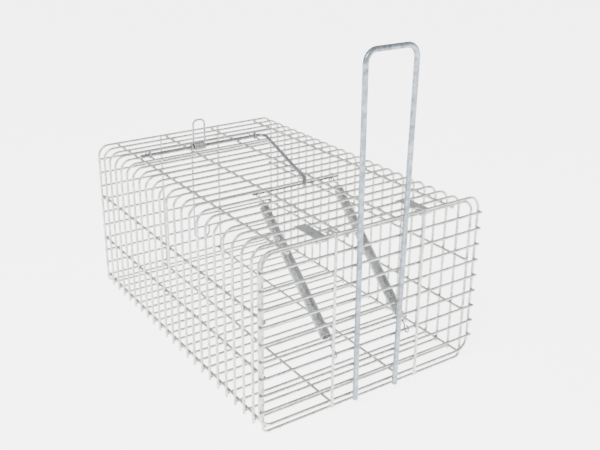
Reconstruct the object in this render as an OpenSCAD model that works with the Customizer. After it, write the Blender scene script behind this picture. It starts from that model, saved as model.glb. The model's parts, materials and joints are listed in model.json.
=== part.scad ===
/* [Cage] */
// Spacing of the cage hoops along the cage
hoop_pitch = 12; // [11:0.5:14]
// Spaces between the front frame and the back frame
hoop_spaces = 22; // [20:1:24]
// Width of the cage between wire centres
cage_w = 175; // [165:1:190]
// Height of the roof wires above the ground, at their centres
cage_h = 128; // [122:1:136]
// Bend radius of the hoops and end frames
bend_r = 9; // [6:1:12]
// Diameter of the cage wire
wire_d = 2; // [1.6:0.1:2.2]

/* [Door] */
// Width of the door frame between wire centres
door_w = 183; // [180:1:190]
// Spaces between the bars of the door
door_spaces = 10; // [8:1:12]
// Half the distance between the two hinge wires
hinge_wire_x = 36.7; // [34:0.1:37]
// Diameter of the handle rod
handle_d = 3.8; // [3:0.1:4]
// Height of the handle's top bar above the ground
handle_top = 246; // [220:0.5:250]

/* [Springs] */
// Outside diameter of the spring coils
spring_od = 8; // [6:0.5:8]
// Wire diameter of the springs
spring_wire_d = 1.2; // [0.8:0.1:1.2]
// Distance of the spring rod behind the front frame
spring_rod_back = 103; // [101:0.5:104]
// Diameter of the spring rod
spring_rod_d = 2.5; // [2:0.1:3]

/* [Trigger] */
// Diameter of the trigger rod
trigger_d = 3; // [2.4:0.1:3]
// Distance of the trigger axle behind the front frame
trigger_back = 209.5; // [209:0.5:211]
// Wire diameter of the bait wire
bait_wire_d = 1.6; // [1.2:0.1:1.6]
// Height of the bottom of the bait hook above the ground
bait_hook_z = 49; // [40:1:60]

/* [Hidden] */
$fn = 32;

// Wires that are welded side by side stand this far apart
weld_gap = 0.02;
// Hoop straights run this far into their bends
bend_lap = 0.02;
// Other straights stop this far short of their bends, inside a bead this much thicker than the wire
bead_gap = 0.01;
bead_over = 0.1;
wire_step = wire_d + weld_gap;
cage_l = hoop_pitch * hoop_spaces;
half_w = cage_w / 2;

// Door planes, measured forwards from the front frame
door_frame_out = wire_d + 0.6;
door_bar_out = door_frame_out + wire_step;
hinge_wire_out = door_bar_out + wire_step;
handle_out = door_bar_out + (wire_d + handle_d) / 2 + weld_gap;
door_bottom = 7.7;
door_top = cage_h + 3.1;
door_pitch = (door_top - door_bottom) / door_spaces;
door_r = 10;
door_bar_over = 1.5;
hinge_wire_r = 3;

// The origin is under the middle of the whole trap
front_y = (handle_out + handle_d / 2 - cage_l - wire_step - wire_d / 2) / 2;
back_y = front_y + cage_l;

// Heights of the rails and of the floor
upper_rail_z = 82;
lower_rail_z = 42;
floor_wire_z = 4;
bottom_rail_z = floor_wire_z + wire_step;
foot_z = 1.5;
foot_bend_r = 4;
roof_rail_x = [-69, -23, 23, 69];
floor_rail_x = [-34, 26.5];
upright_x = 29;
back_wires = 10;

// Springs: rod above, door bar below
spring_rod_z = cage_h - wire_step - (wire_d + spring_rod_d) / 2 - weld_gap;
spring_rod_y = front_y + spring_rod_back;
spring_rod_x = [-31, 47];
spring_bar = 3;
left_top = [-27, spring_rod_y, spring_rod_z];
right_top = [41.5, spring_rod_y, spring_rod_z];
spring_bar_z = door_bottom + spring_bar * door_pitch;
left_low = [-34, front_y - door_bar_out, spring_bar_z];
right_low = [28.5, front_y - door_bar_out, spring_bar_z];
hook_r = 2.4;
hook_l = 12.5;
hook_cap_h = 1;
coil_gap = 0.05;

// Trigger
trigger_z = cage_h + 3.1;
trigger_y = front_y + trigger_back;
trigger_left = -72;
trigger_right = 46;
trigger_tip = [9.4, front_y + 94.5, trigger_z];
trigger_nose = [5.5, front_y + 89.5, trigger_z - 3.5];
eye_x = [-64, 36];
eye_d = 1.6;
bait_coil_d = 2;
bait_coil_r = (trigger_d + bait_coil_d) / 2 + 0.03;
bait_rod_x = -25.9;
bait_hook_r = 6;
bait_hook_w = 14;
loop_left = -24;
loop_right = -13.4;
loop_top = cage_h + 26;
loop_r = 4;

// Hinge clips of folded sheet
clip_w = 9;
clip_t = 0.7;
clip_x = 43.2;
clip_in_r = wire_d / 2 + 0.1;

function unit(v) = v / norm(v);
function corner_r(r, i) = is_list(r) ? r[i - 1] : r;
function way(p, i) = unit(p[i + 1] - p[i]);
function turn(p, i) = acos(way(p, i - 1) * way(p, i));
function cut(p, i, r) = i == 0 || i == len(p) - 1 ? 0 : corner_r(r, i) * tan(turn(p, i) / 2);

// Places children with their X and Y axes along x and y, at o
module in_frame(o, x, y) {
    z = cross(x, y);
    multmatrix([
        [x[0], y[0], z[0], o[0]],
        [x[1], y[1], z[1], o[1]],
        [x[2], y[2], z[2], o[2]],
        [0, 0, 0, 1]
    ]) children();
}

// A direction square to v, as near to the X axis as it can be
function across(v) = unit([1, 0, 0] - v[0] * v);

// Places children with their Z axis along v and their X axis nearly along X
module along(o, v) {
    x = across(v);
    in_frame(o, x, cross(v, x)) children();
}

// A straight rod from a to b
module rod(a, b, d) {
    if (norm(b - a) > 0.001) {
        v = unit(b - a);
        side = abs(v[0]) > 0.9 ? unit(cross(v, [0, 0, 1])) : across(v);
        in_frame(a, side, cross(v, side)) cylinder(h = norm(b - a), d = d);
    }
}

// A wire through the points p, bent to the radius r at each inner point.
// A bead a little thicker than the wire joins each straight to its bend. With a bead of 0
// the straights run into their bends by lap, or stop short of them where lap is negative.
module wire(p, d, r, bead = bead_over, lap = -bead_gap) {
    n = len(p);
    for (i = [0 : n - 2]) {
        v = way(p, i);
        lap_a = i == 0 ? 0 : lap;
        lap_b = i == n - 2 ? 0 : lap;
        rod(p[i] + v * (cut(p, i, r) - lap_a), p[i + 1] - v * (cut(p, i + 1, r) - lap_b), d);
    }
    for (i = [1 : 1 : n - 2]) {
        a = way(p, i - 1);
        b = way(p, i);
        inward = unit(b - (a * b) * a);
        bend = corner_r(r, i);
        before = p[i] - a * cut(p, i, r);
        in_frame(before + inward * bend, -inward, a)
            rotate_extrude(angle = turn(p, i)) translate([bend, 0]) circle(d = d);
        if (bead > 0) {
            translate(before) sphere(d = d + bead);
            translate(p[i] + b * cut(p, i, r)) sphere(d = d + bead);
        }
    }
}

// Points of a closed upright frame, from the middle of its bottom wire and back to it
function frame_points(w, y, low, high) = [
    [0, y, low],
    [-w / 2, y, low],
    [-w / 2, y, high],
    [w / 2, y, high],
    [w / 2, y, low],
    [0, y, low]
];

// A closed end frame of the cage in the plane y
module end_frame(y) {
    points = frame_points(cage_w, y, wire_d / 2, cage_h);
    color("silver") wire(points, wire_d, [foot_bend_r, bend_r, bend_r, foot_bend_r], 0);
}

module front_frame() {
    end_frame(front_y);
}

module back_frame() {
    end_frame(back_y);
}

// Hoop number i, an upside-down U counted from the front
module hoop(i) {
    y = front_y + i * hoop_pitch;
    points = [
        [-half_w, y, foot_z],
        [-half_w, y, cage_h],
        [half_w, y, cage_h],
        [half_w, y, foot_z]
    ];
    color("silver") wire(points, wire_d, bend_r, 0, bend_lap);
}

module back_cross_wires() {
    y = back_y + wire_step;
    x = half_w - 0.3;
    pitch = (cage_h - bottom_rail_z) / back_wires;
    color("gainsboro")
        for (i = [0 : back_wires - 1]) {
            z = bottom_rail_z + i * pitch;
            rod([-x, y, z], [x, y, z], wire_d);
        }
}

module back_upright_wires() {
    low = wire_d + weld_gap;
    high = cage_h - wire_d / 2 - weld_gap;
    color("gainsboro")
        for (x = [-upright_x, upright_x]) rod([x, back_y, low], [x, back_y, high], wire_d);
}

module floor_cross_wires() {
    x = half_w - wire_d / 2 - weld_gap;
    color("gainsboro")
        for (i = [1 : hoop_spaces - 1]) {
            y = front_y + i * hoop_pitch;
            rod([-x, y, floor_wire_z], [x, y, floor_wire_z], wire_d);
        }
}

// A wire along the cage, from just before the front frame to just behind the back frame
module long_wire(x, z) {
    color("lightgrey") rod([x, front_y - 0.8, z], [x, back_y + 0.8, z], wire_d);
}

module side_rail(side, z) {
    long_wire(side * (half_w - wire_step), z);
}

module roof_rail(i) {
    long_wire(roof_rail_x[i], cage_h - wire_step);
}

module floor_rail(i) {
    long_wire(floor_rail_x[i], bottom_rail_z);
}

// A straight rod welded under the two middle roof rails
module spring_rod() {
    ends = [for (x = spring_rod_x) [x, spring_rod_y, spring_rod_z]];
    color("dimgray") rod(ends[0], ends[1], spring_rod_d);
}

// A sheet strip over the first two hoops, curled round the front wire and the second hoop
module hinge_clip(x) {
    tail_y = 2 * hoop_pitch;
    color("lightgrey")
        translate([x - clip_w / 2, front_y, cage_h]) {
            translate([0, 0, clip_in_r]) cube([clip_w, tail_y, clip_t]);
            clip_curl(90, 250);
            translate([0, tail_y, 0]) clip_curl(-60, 150);
        }
}

// A curled lip about the X axis, from the angle start through the angle sweep
module clip_curl(start, sweep) {
    rotate([90, 0, 90])
        rotate([0, 0, start])
            rotate_extrude(angle = sweep) translate([clip_in_r, 0]) square([clip_t, clip_w]);
}

// A ring round the trigger axle with two tails that lie on the hoops
module axle_eye(i) {
    x = eye_x[i];
    tail_z = cage_h + (wire_d + eye_d) / 2 + weld_gap;
    ring_r = (trigger_d + eye_d) / 2 + 0.06;
    tail_start = sqrt(ring_r * ring_r - (trigger_z - tail_z) * (trigger_z - tail_z));
    color("silver") {
        translate([x, trigger_y, trigger_z])
            rotate([0, 90, 0]) rotate_extrude() translate([ring_r, 0]) circle(d = eye_d);
        for (s = [-1, 1])
            rod([x, trigger_y + s * tail_start, tail_z], [x, trigger_y + s * 8.5, tail_z], eye_d * 0.9);
    }
}

module door_frame() {
    y = front_y - door_frame_out;
    color("gainsboro") wire(frame_points(door_w, y, door_bottom, door_top), wire_d, door_r, 0);
}

module door_bars() {
    y = front_y - door_bar_out;
    x = door_w / 2 + door_bar_over;
    color("gainsboro")
        for (i = [1 : door_spaces - 1]) {
            z = door_bottom + i * door_pitch;
            rod([-x, y, z], [x, y, z], wire_d);
        }
}

// An upright door wire whose top is bent back over the front frame's top wire
module hinge_wire(x) {
    out = front_y - hinge_wire_out;
    tail_y = front_y + wire_d + 0.1;
    top = door_top + wire_step;
    points = [
        [x, out, door_bottom - 2],
        [x, out, top],
        [x, tail_y, top],
        [x, tail_y, cage_h - 1]
    ];
    color("lightgrey") wire(points, wire_d, hinge_wire_r);
}

// The handle is one long U of thick rod welded up the front of the door
module handle() {
    y = front_y - handle_out;
    low = 5.5;
    points = [[-17.5, y, low], [-19.3, y, handle_top], [21, y, handle_top], [17.5, y, low]];
    color("lightsteelblue") wire(points, handle_d, 8, 0);
}

// The hook at the end of a spring: a ring and a straight neck
module spring_hook(o, v) {
    along(o, v) {
        rotate([0, 90, 0]) rotate_extrude() translate([hook_r, 0]) circle(d = spring_wire_d);
        translate([0, 0, hook_r]) cylinder(h = hook_l - hook_r, d = spring_wire_d * 0.9);
    }
}

// The bent end turn that joins the upper hook to the coil
module spring_cap(o, v) {
    along(o, v)
        translate([0, 0, hook_l - hook_cap_h]) cylinder(h = hook_cap_h, d = spring_od - spring_wire_d);
}

// The close-wound coil between the two hooks, as a tube that its lower end turn closes
module spring_coil(top, low) {
    l = norm(low - top) - 2 * (hook_l + coil_gap);
    along(top, unit(low - top))
        translate([0, 0, hook_l + coil_gap])
            difference() {
                cylinder(h = l, d = spring_od);
                translate([0, 0, -1]) cylinder(h = l + 1 - hook_cap_h, d = spring_od - 2 * spring_wire_d);
            }
}

module upper_hook(top, low) {
    color("lightslategray") {
        spring_hook(top, unit(low - top));
        spring_cap(top, unit(low - top));
    }
}

module lower_hook(top, low) {
    color("lightslategray") spring_hook(low, unit(top - low));
}

module coil(top, low) {
    color("slategray") spring_coil(top, low);
}

// Axle, bend and arm of the trigger, with the arm's nose turned down between two hoops
module trigger_rod() {
    points = [
        [trigger_left, trigger_y, trigger_z],
        [trigger_right, trigger_y, trigger_z],
        trigger_tip,
        trigger_nose
    ];
    color("lightsteelblue") wire(points, trigger_d, [6, 3], 0);
}

// The turns of the bait wire round the axle, as a sleeve
module bait_sleeve() {
    l = loop_right - loop_left + bait_coil_d;
    color("silver")
        translate([loop_left - bait_coil_d / 2, trigger_y, trigger_z])
            rotate([0, 90, 0])
                difference() {
                    cylinder(h = l, r = bait_coil_r + bait_coil_d / 2);
                    translate([0, 0, -1]) cylinder(h = l + 2, r = bait_coil_r - bait_coil_d / 2);
                }
}

// The finger loop that stands up from the sleeve, over the roof
module finger_loop() {
    low = trigger_z + bait_coil_r + bait_coil_d / 2 + weld_gap;
    points = [
        [loop_left, trigger_y, low],
        [loop_left, trigger_y, loop_top],
        [loop_right, trigger_y, loop_top],
        [loop_right, trigger_y, low]
    ];
    color("silver") wire(points, bait_wire_d, loop_r, 0);
}

// The wire that hangs from the sleeve into the cage and ends in the bait hook
module bait_hook() {
    hook_right = bait_rod_x + bait_hook_w;
    points = [
        [bait_rod_x, trigger_y, trigger_z],
        [bait_rod_x, trigger_y, bait_hook_z],
        [hook_right, trigger_y, bait_hook_z],
        [hook_right, trigger_y, bait_hook_z + bait_hook_w * 0.7]
    ];
    eye_r = (trigger_d + bait_wire_d) / 2 + 0.03;
    color("silver") {
        translate([bait_rod_x, trigger_y, trigger_z])
            rotate([0, 90, 0]) rotate_extrude() translate([eye_r, 0]) circle(d = bait_wire_d);
        translate([0, 0, -eye_r]) wire(points, bait_wire_d, bait_hook_r);
    }
}

front_frame();
back_frame();
for (i = [1 : hoop_spaces - 1]) hoop(i);
back_cross_wires();
back_upright_wires();
floor_cross_wires();
side_rail(-1, upper_rail_z);  // left_upper_rail
side_rail(-1, lower_rail_z);  // left_lower_rail
side_rail(-1, bottom_rail_z);  // left_bottom_rail
side_rail(1, upper_rail_z);  // right_upper_rail
side_rail(1, lower_rail_z);  // right_lower_rail
side_rail(1, bottom_rail_z);  // right_bottom_rail
for (i = [1 : 4]) roof_rail(i - 1);
for (i = [1 : 2]) floor_rail(i - 1);
spring_rod();
hinge_clip(-clip_x);  // left_hinge_clip
hinge_clip(clip_x);  // right_hinge_clip
axle_eye(0);  // left_axle_eye
axle_eye(1);  // right_axle_eye
door_frame();
door_bars();
hinge_wire(-hinge_wire_x);  // left_hinge_wire
hinge_wire(hinge_wire_x);  // right_hinge_wire
handle();
upper_hook(left_top, left_low);  // left_spring_upper_hook
coil(left_top, left_low);  // left_spring_coil
lower_hook(left_top, left_low);  // left_spring_lower_hook
upper_hook(right_top, right_low);  // right_spring_upper_hook
coil(right_top, right_low);  // right_spring_coil
lower_hook(right_top, right_low);  // right_spring_lower_hook
trigger_rod();
bait_sleeve();
finger_loop();
bait_hook();
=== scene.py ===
"""Looks of the wire cage trap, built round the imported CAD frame. All lengths are in metres."""
import json
import math

import bmesh
import bpy
from mathutils import Matrix, Vector


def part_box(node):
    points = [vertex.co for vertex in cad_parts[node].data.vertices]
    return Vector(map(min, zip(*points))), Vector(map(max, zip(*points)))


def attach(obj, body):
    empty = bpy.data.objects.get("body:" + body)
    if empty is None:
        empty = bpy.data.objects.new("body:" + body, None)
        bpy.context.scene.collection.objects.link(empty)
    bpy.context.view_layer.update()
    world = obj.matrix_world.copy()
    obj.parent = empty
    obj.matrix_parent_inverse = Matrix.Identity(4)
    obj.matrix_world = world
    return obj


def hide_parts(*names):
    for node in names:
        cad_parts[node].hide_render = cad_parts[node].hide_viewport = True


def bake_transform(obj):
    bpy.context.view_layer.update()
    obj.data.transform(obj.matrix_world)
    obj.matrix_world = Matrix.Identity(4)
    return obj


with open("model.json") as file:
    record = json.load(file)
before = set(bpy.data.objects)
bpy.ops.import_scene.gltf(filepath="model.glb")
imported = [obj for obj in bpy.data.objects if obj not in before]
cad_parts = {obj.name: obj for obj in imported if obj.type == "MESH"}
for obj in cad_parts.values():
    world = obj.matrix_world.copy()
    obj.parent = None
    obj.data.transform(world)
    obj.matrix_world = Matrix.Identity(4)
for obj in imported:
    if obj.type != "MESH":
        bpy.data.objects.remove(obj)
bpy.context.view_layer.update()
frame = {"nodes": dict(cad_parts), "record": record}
MM = 0.001
WIRE_R = 1.0 * MM


# ---------------------------------------------------------------- places taken from the frame

def middle(node):
    low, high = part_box(node)
    return (low + high) / 2


def joint(name):
    return next(j for j in frame["record"]["behaviour"]["joints"] if j["name"] == name)


FRONT_Y = middle("front_frame").y
BACK_Y = middle("back_frame").y
ROOF_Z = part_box("front_frame")[1].z - WIRE_R
HALF_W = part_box("front_frame")[1].x - WIRE_R
HOOPS = [n for n in frame["nodes"] if n.startswith("hoop_")]
HOOP_YS = sorted(middle(n).y for n in HOOPS)
UPRIGHT_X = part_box("back_upright_wires")[1].x - WIRE_R
FLOOR_WIRE_Z = middle("floor_cross_wires").z


# ---------------------------------------------------------------- materials

def node(tree, kind, **inputs):
    made = tree.nodes.new(kind)
    for name, value in inputs.items():
        made.inputs[name.replace("_", " ")].default_value = value
    return made


def ramp(tree, source, stops):
    """A colour ramp on source, with stops of (place, grey or colour)."""
    made = tree.nodes.new("ShaderNodeValToRGB")
    tree.links.new(source, made.inputs["Fac"])
    elements = made.color_ramp.elements
    while len(elements) < len(stops):
        elements.new(0.5)
    for element, (place, colour) in zip(elements, stops):
        if not isinstance(colour, tuple):
            colour = (colour, colour, colour)
        element.position = place
        element.color = (*colour, 1)
    return made.outputs["Color"]


def noise(tree, coords, scale, detail=3.0, stretch=(1, 1, 1)):
    mapping = tree.nodes.new("ShaderNodeMapping")
    mapping.inputs["Scale"].default_value = stretch
    tree.links.new(coords, mapping.inputs["Vector"])
    made = node(tree, "ShaderNodeTexNoise", Scale=scale, Detail=detail, Roughness=0.55)
    tree.links.new(mapping.outputs["Vector"], made.inputs["Vector"])
    return made.outputs["Fac"]


def mix(tree, factor, a, b, blend="MIX"):
    made = tree.nodes.new("ShaderNodeMix")
    made.data_type = "RGBA"
    made.blend_type = blend
    if isinstance(factor, float):
        made.inputs["Factor"].default_value = factor
    else:
        tree.links.new(factor, made.inputs["Factor"])
    for socket, value in ((made.inputs[6], a), (made.inputs[7], b)):
        if isinstance(value, tuple):
            socket.default_value = (*value, 1)
        else:
            tree.links.new(value, socket)
    return made.outputs[2]


def galvanised(name, light, dull, rough=(0.28, 0.5), metallic=0.85, spangle=420.0, marks=0.35, bump=0.12):
    """Zinc-coated steel: mottled zinc, fine drawn streaks, dull patches and a few brown marks."""
    material = bpy.data.materials.new(name)
    material.use_nodes = True
    tree = material.node_tree
    shader = tree.nodes["Principled BSDF"]
    coords = tree.nodes.new("ShaderNodeTexCoord").outputs["Object"]
    patches = noise(tree, coords, spangle, 4.0)
    zinc = ramp(tree, patches, [(0.32, dull), (0.62, light)])
    cloud = noise(tree, coords, 38.0, 2.0)
    shade = ramp(tree, cloud, [(0.35, 0.80), (0.65, 1.0)])
    zinc = mix(tree, 1.0, zinc, shade, "MULTIPLY")
    spots = noise(tree, coords, 150.0, 5.0)
    brown = ramp(tree, spots, [(0.66, 0.0), (0.78, marks)])
    colour = mix(tree, brown, zinc, (0.30, 0.25, 0.20))
    tree.links.new(colour, shader.inputs["Base Color"])
    streaks = noise(tree, coords, 1900.0, 2.0)
    roughness = ramp(tree, patches, [(0.3, rough[1]), (0.7, rough[0])])
    tree.links.new(roughness, shader.inputs["Roughness"])
    shader.inputs["Metallic"].default_value = metallic
    relief = node(tree, "ShaderNodeBump", Strength=bump, Distance=0.0002)
    tree.links.new(streaks, relief.inputs["Height"])
    tree.links.new(relief.outputs["Normal"], shader.inputs["Normal"])
    return material


CAGE = galvanised("cage_zinc", (0.62, 0.62, 0.57), (0.36, 0.36, 0.34))
DOOR = galvanised("door_zinc", (0.58, 0.59, 0.56), (0.32, 0.33, 0.32), rough=(0.26, 0.46))
HANDLE = galvanised("handle_zinc", (0.28, 0.32, 0.36), (0.13, 0.15, 0.18), rough=(0.26, 0.42), spangle=300.0)
DARK = galvanised("dark_rod_steel", (0.09, 0.085, 0.08), (0.04, 0.038, 0.035), rough=(0.35, 0.55), marks=0.6)
SHEET = galvanised("clip_zinc", (0.50, 0.51, 0.52), (0.30, 0.31, 0.32), rough=(0.2, 0.4), spangle=260.0)
SPRING = galvanised("spring_zinc", (0.40, 0.41, 0.42), (0.20, 0.21, 0.22), rough=(0.24, 0.4), marks=0.2)
ROD = galvanised("trigger_zinc", (0.34, 0.36, 0.38), (0.16, 0.18, 0.19), rough=(0.24, 0.42))
BAIT = galvanised("bait_zinc", (0.44, 0.45, 0.45), (0.24, 0.25, 0.26))
WELD = galvanised("weld_zinc", (0.36, 0.35, 0.33), (0.18, 0.17, 0.16), rough=(0.4, 0.6),
                  spangle=900.0, marks=0.7, bump=0.35)

SLOT_MATERIAL = {
    "cage_wire": CAGE,
    "door_wire": DOOR,
    "handle_rod": HANDLE,
    "dark_rod": DARK,
    "hinge_sheet": SHEET,
    "spring_wire": SPRING,
    "trigger_rod": ROD,
    "bait_wire": BAIT,
}

for entry in frame["record"]["subparts"]:
    part = frame["nodes"][entry["node"]]
    part.data.materials.clear()
    part.data.materials.append(SLOT_MATERIAL[entry["material_slot"]])
    for face in part.data.polygons:
        face.use_smooth = True


# ---------------------------------------------------------------- mesh helpers

def tube(name, points, radius, material, sides=12, round_ends=True):
    """A tube swept along points, with its section carried along without twist."""
    mesh = bmesh.new()
    rings = []
    tangents = []
    for i, p in enumerate(points):
        before = points[max(i - 1, 0)]
        after = points[min(i + 1, len(points) - 1)]
        tangents.append((after - before).normalized())
    up = tangents[0].orthogonal().normalized()

    def ring(centre, tangent, r):
        side = tangent.cross(up).normalized()
        made = []
        for k in range(sides):
            a = 2 * math.pi * k / sides
            made.append(mesh.verts.new(centre + r * (math.cos(a) * up + math.sin(a) * side)))
        return made

    steps = 3 if round_ends else 0
    for k in range(steps):
        a = math.pi / 2 * (k + 0.35) / steps
        centre = points[0] - tangents[0] * radius * math.cos(a) * 0.8
        rings.append(ring(centre, tangents[0], radius * math.sin(a)))
    for p, t in zip(points, tangents):
        up = (up - up.dot(t) * t).normalized()
        rings.append(ring(p, t, radius))
    for k in reversed(range(steps)):
        a = math.pi / 2 * (k + 0.35) / steps
        centre = points[-1] + tangents[-1] * radius * math.cos(a) * 0.8
        rings.append(ring(centre, tangents[-1], radius * math.sin(a)))
    for a, b in zip(rings, rings[1:]):
        for k in range(sides):
            mesh.faces.new((a[k], a[(k + 1) % sides], b[(k + 1) % sides], b[k]))
    mesh.faces.new(list(reversed(rings[0])))
    mesh.faces.new(rings[-1])
    bmesh.ops.recalc_face_normals(mesh, faces=mesh.faces)
    return finished(name, mesh, material)


def finished(name, mesh, material):
    data = bpy.data.meshes.new(name)
    mesh.to_mesh(data)
    mesh.free()
    for face in data.polygons:
        face.use_smooth = True
    data.materials.append(material)
    made = bpy.data.objects.new(name, data)
    bpy.context.scene.collection.objects.link(made)
    return made


def arc(centre, start, normal, degrees, steps):
    """Points that turn the arm start about normal, round centre."""
    step = math.radians(degrees) / steps
    return [centre + Matrix.Rotation(step * k, 3, normal) @ start for k in range(steps + 1)]


def bent(points, radii, steps=8):
    """The corners in points, rounded to radii at each inner corner."""
    route = [points[0]]
    for before, corner, after, r in zip(points, points[1:], points[2:], radii):
        a = (corner - before).normalized()
        b = (after - corner).normalized()
        turn = a.angle(b)
        cut = r * math.tan(turn / 2)
        inward = (b - a.dot(b) * a).normalized()
        centre = corner - a * cut + inward * r
        route += arc(centre, -inward * r, a.cross(b).normalized(), math.degrees(turn), steps)
    return route + [points[-1]]


# ---------------------------------------------------------------- springs

SPRING_WIRE_R = 0.6 * MM
HOOK_R = 2.4 * MM
HOOK_L = 12.5 * MM
COIL_R = 4.0 * MM - SPRING_WIRE_R
STEPS_A_TURN = 14


def spring_frame(side):
    """Anchor on the rod, hook point on the door bar and the direction between them."""
    swing = joint(f"{side}_spring_swing")
    turn = joint(f"{side}_hook_turn")
    top = Vector(swing["pos_m"])
    low = Vector(turn["pos_m"])
    return top, low, (low - top).normalized()


def axes_along(way):
    x = (Vector((1, 0, 0)) - way.x * way).normalized()
    return x, way.cross(x).normalized()


def spring_coil(side):
    top, low, way = spring_frame(side)
    x, y = axes_along(way)
    start = top + way * (HOOK_L + SPRING_WIRE_R)
    length = (low - top).length - 2 * (HOOK_L + SPRING_WIRE_R)
    turns = round(length / (2.02 * SPRING_WIRE_R))
    points = []
    for k in range(turns * STEPS_A_TURN + 1):
        a = 2 * math.pi * k / STEPS_A_TURN
        along = length * k / (turns * STEPS_A_TURN)
        points.append(start + way * along + COIL_R * (math.cos(a) * x + math.sin(a) * y))
    made = tube(f"{side}_spring_winding", points, SPRING_WIRE_R, SPRING, 7)
    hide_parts(f"{side}_spring_coil")
    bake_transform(made)


def spring_hook(side, end):
    """An open ring, a neck to the middle line, and the end turn that meets the coil."""
    top, low, way = spring_frame(side)
    centre = top
    if end == "lower":
        centre = low
        way = -way
    x, y = axes_along(way)
    ring = [centre + HOOK_R * (math.sin(a) * y - math.cos(a) * way)
            for a in (math.radians(-125 + 290 * k / 22) for k in range(23))]
    neck = [centre + way * (HOOK_R + k * MM) - y * 0.1 * MM for k in (1.0, 2.2, 3.4)]
    turn = []
    for k in range(24):
        t = k / 23
        a = math.pi / 2 - 2.6 * math.pi * t
        r = COIL_R * min(1.0, 0.12 + 2.2 * t)
        z = HOOK_R + 4.2 * MM + t * (HOOK_L - HOOK_R - 4.2 * MM - SPRING_WIRE_R * 0.4)
        turn.append(centre + way * z + r * (math.cos(a) * x + math.sin(a) * y))
    route = ring + neck + turn
    made = tube(f"{side}_spring_{end}_hook_wire", route, SPRING_WIRE_R, SPRING, 10)
    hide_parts(f"{side}_spring_{end}_hook")
    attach(made, f"{side}_spring_{'top' if end == 'upper' else 'bottom'}")


for side in ("left", "right"):
    spring_coil(side)
    for end in ("upper", "lower"):
        spring_hook(side, end)


# ---------------------------------------------------------------- trigger rod and its bait wire

axle = Vector(joint("trigger_tilt")["pos_m"])
rod_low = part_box("trigger_rod")[0]
ROD_R = 1.5 * MM
tip = Vector((9.4 * MM, FRONT_Y + 94.5 * MM, axle.z))
corner = Vector((46 * MM, axle.y, axle.z))
nose = Vector((5.5 * MM, FRONT_Y + 89.5 * MM, axle.z - 3.5 * MM))
rod_points = [Vector((rod_low.x, axle.y, axle.z)), corner, tip, nose]
trigger = tube("trigger_rod_bent", bent(rod_points, [6 * MM, 3 * MM]), ROD_R, ROD, 16)
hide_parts("trigger_rod")
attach(trigger, "trigger")

sleeve_low, sleeve_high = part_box("bait_sleeve")
TURNS = 6
winding = []
wind_r = ROD_R + 1.03 * MM
for k in range(TURNS * 18 + 1):
    a = 2 * math.pi * k / 18
    along = sleeve_low.x + MM + (sleeve_high.x - sleeve_low.x - 2 * MM) * k / (TURNS * 18)
    winding.append(Vector((along, axle.y + wind_r * math.cos(a), axle.z + wind_r * math.sin(a))))
turns = tube("bait_wire_turns", winding, 1.0 * MM, BAIT, 10)
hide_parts("bait_sleeve")
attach(turns, "trigger")


# ---------------------------------------------------------------- welds

def welds(name, places, body):
    """One small flattened bead of fused metal at each crossing: (place, pressing direction, size)."""
    mesh = bmesh.new()
    for i, (place, press, size) in enumerate(places):
        turn = press.to_track_quat("Z", "X").to_matrix().to_4x4()
        wobble = 1 + 0.16 * math.sin(i * 2.4)
        scale = Matrix.Diagonal((size * wobble, size / wobble, size * 0.62, 1))
        pose = Matrix.Translation(place) @ turn @ scale
        bmesh.ops.create_icosphere(mesh, subdivisions=2, radius=1.0, matrix=pose)
    made = finished(name, mesh, WELD)
    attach(made, body)


X, Y, Z = Vector((1, 0, 0)), Vector((0, 1, 0)), Vector((0, 0, 1))
BEAD = 1.25 * MM
cage_places = []
for rail in [n for n in frame["nodes"] if n.startswith("roof_rail_")]:
    at = middle(rail)
    for y in HOOP_YS + [FRONT_Y, BACK_Y]:
        cage_places.append((Vector((at.x, y, ROOF_Z - WIRE_R)), Z, BEAD))
for rail in [n for n in frame["nodes"] if n.endswith("_rail") and not n.startswith("floor")]:
    at = middle(rail)
    for y in HOOP_YS + [FRONT_Y, BACK_Y]:
        cage_places.append((Vector((math.copysign(HALF_W - WIRE_R, at.x), y, at.z)), X, BEAD))
for rail in [n for n in frame["nodes"] if n.startswith("floor_rail_")]:
    at = middle(rail)
    for y in HOOP_YS:
        cage_places.append((Vector((at.x, y, at.z - WIRE_R)), Z, BEAD))
for y in HOOP_YS:
    for side in (-1, 1):
        cage_places.append((Vector((side * (HALF_W - WIRE_R), y, FLOOR_WIRE_Z)), X, BEAD * 0.9))
back_low, back_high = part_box("back_cross_wires")
BACK_WIRES = 10
for i in range(BACK_WIRES):
    z = back_low.z + WIRE_R + i * (back_high.z - back_low.z - 2 * WIRE_R) / (BACK_WIRES - 1)
    for x in (-UPRIGHT_X, UPRIGHT_X, -HALF_W, HALF_W):
        cage_places.append((Vector((x, BACK_Y + WIRE_R, z)), Y, BEAD * 0.9))
spring_rod_y = middle("spring_rod").y
spring_rod_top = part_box("spring_rod")[1].z
for rail in ("roof_rail_2", "roof_rail_3"):
    cage_places.append((Vector((middle(rail).x, spring_rod_y, spring_rod_top)), Z, BEAD * 1.2))
welds("cage_welds", cage_places, "cage")

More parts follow.
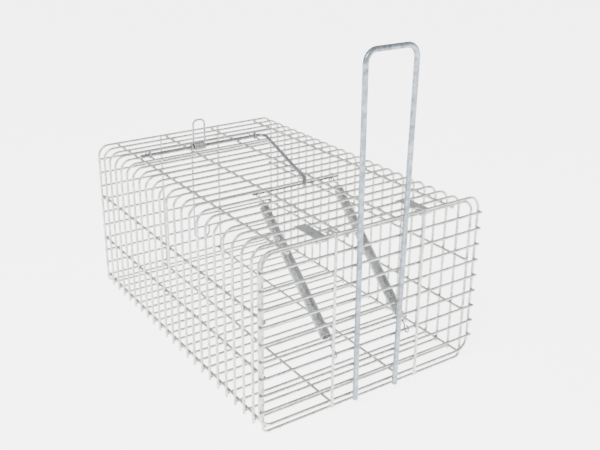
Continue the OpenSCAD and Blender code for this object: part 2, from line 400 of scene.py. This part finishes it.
bars_low, bars_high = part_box("door_bars")
door_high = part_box("door_frame")[1]
bar_y = middle("door_bars").y
handle_low, handle_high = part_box("handle")
door_places = []
BARS = 9
LEG_X = 17.5 * MM
LEG_LEAN = {-1: -1.8 * MM, 1: 3.5 * MM}
for i in range(BARS):
    z = bars_low.z + WIRE_R + i * (bars_high.z - bars_low.z - 2 * WIRE_R) / (BARS - 1)
    for side in (-1, 1):
        door_places.append((Vector((side * (door_high.x - WIRE_R), bar_y + WIRE_R, z)), Y, BEAD * 1.15))
        door_places.append((Vector((side * middle("right_hinge_wire").x, bar_y - WIRE_R, z)), Y, BEAD))
        share = (z - handle_low.z) / (handle_high.z - handle_low.z)
        leg_x = side * LEG_X + LEG_LEAN[side] * share
        door_places.append((Vector((leg_x, bar_y - WIRE_R, z)), Y, BEAD * 1.2))
welds("door_welds", door_places, "door")


# ---------------------------------------------------------------- floor, light and camera

floor_material = bpy.data.materials.new("studio_floor")
floor_material.use_nodes = True
floor_shader = floor_material.node_tree.nodes["Principled BSDF"]
floor_shader.inputs["Base Color"].default_value = (0.93, 0.93, 0.92, 1)
floor_shader.inputs["Roughness"].default_value = 0.42
floor_shader.inputs["Specular IOR Level"].default_value = 0.3
floor_shader.inputs["Emission Color"].default_value = (1.0, 1.0, 1.0, 1)
floor_shader.inputs["Emission Strength"].default_value = 4.5
bpy.ops.mesh.primitive_plane_add(size=12, location=(0, 0, 0))
floor = bpy.context.object
floor.name = "studio_floor"
floor.data.materials.append(floor_material)

world = bpy.data.worlds.new("studio")
world.use_nodes = True
world.node_tree.nodes["Background"].inputs["Color"].default_value = (1.0, 1.0, 1.0, 1)
world.node_tree.nodes["Background"].inputs["Strength"].default_value = 0.9
bpy.context.scene.world = world


def area_light(name, place, target, size, energy, colour=(1, 1, 1)):
    data = bpy.data.lights.new(name, "AREA")
    data.size = size
    data.energy = energy
    data.color = colour
    lamp = bpy.data.objects.new(name, data)
    lamp.location = place
    lamp.rotation_euler = (Vector(target) - Vector(place)).to_track_quat("-Z", "Y").to_euler()
    bpy.context.scene.collection.objects.link(lamp)


area_light("key", (-0.9, -0.5, 1.1), (0, 0, 0.08), 0.7, 24, (1.0, 0.99, 0.97))
area_light("fill", (1.1, -0.9, 0.7), (0, 0, 0.08), 0.9, 3, (0.92, 0.96, 1.0))

EYE = Vector((-323.2, -509.9, 336.6)) * MM
LOOK_AT = Vector((-3.6, 3.2, 109.8)) * MM
ROLL = -0.398
camera_data = bpy.data.cameras.new("camera")
camera_data.sensor_width = 36
camera_data.lens = 49.26
camera_data.shift_x = 0.0608
camera_data.shift_y = -0.0530
camera = bpy.data.objects.new("camera", camera_data)
aim = (LOOK_AT - EYE).to_track_quat("-Z", "Y").to_matrix().to_4x4()
camera.matrix_world = Matrix.Translation(EYE) @ aim @ Matrix.Rotation(math.radians(ROLL), 4, "Z")
bpy.context.scene.collection.objects.link(camera)
bpy.context.scene.camera = camera

bpy.context.view_layer.update()
